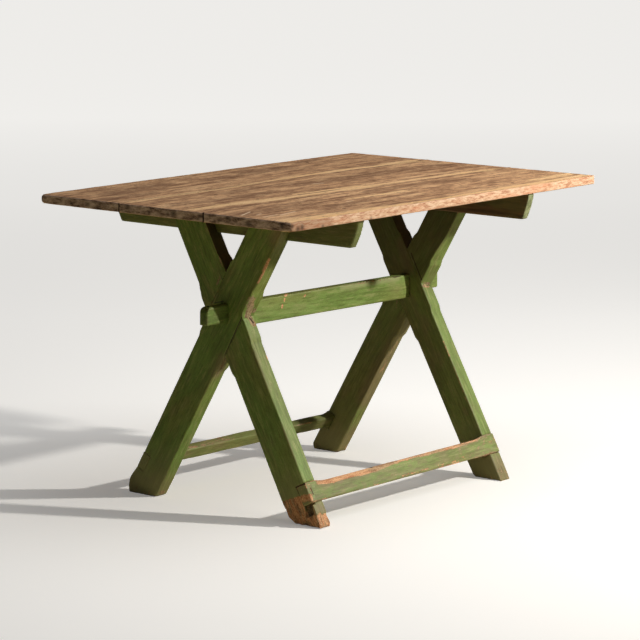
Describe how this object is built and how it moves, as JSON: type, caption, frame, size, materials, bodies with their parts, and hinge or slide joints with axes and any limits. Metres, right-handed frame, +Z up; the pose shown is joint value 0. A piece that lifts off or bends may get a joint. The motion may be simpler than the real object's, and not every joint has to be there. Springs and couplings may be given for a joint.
{
  "type": "trestle table",
  "caption": "Rectangular table with a scrubbed plank top on two painted cross-legged trestles, joined by a centre stretcher and low rails.",
  "frame": {"origin": "on the floor, below the middle of the top", "axes": "+Z up, +X along the boards to the right end, +Y from the front long side to the rear one"},
  "size_m": [1.16, 0.787, 0.75],
  "materials": {
    "scrubbed_top": "bare scrubbed softwood, weathered, with darker old patches",
    "dark_wood": "old unfinished wood, darkened",
    "peg_wood": "bare hardwood",
    "green_paint": "wood with old olive green paint, worn through at the edges",
    "iron": "rusted wrought iron"
  },
  "bodies": {
    "root": {"top_board_rear": "scrubbed_top", "top_board_middle": "scrubbed_top", "top_board_front": "scrubbed_top", "rear_seam_dowels": "peg_wood", "front_seam_dowels": "peg_wood", "left_batten": "dark_wood", "right_batten": "dark_wood", "left_board_nails": "iron", "right_board_nails": "iron", "left_rear_leg": "green_paint", "left_front_leg": "green_paint", "right_rear_leg": "green_paint", "right_front_leg": "green_paint", "left_batten_pegs": "peg_wood", "right_batten_pegs": "peg_wood", "left_crossing_pegs": "peg_wood", "right_crossing_pegs": "peg_wood", "left_tenon_pin": "peg_wood", "right_tenon_pin": "peg_wood", "centre_stretcher": "green_paint", "front_rail": "green_paint", "rear_rail": "green_paint", "front_rail_nails": "iron", "rear_rail_nails": "iron"}
  },
  "joints": []
}
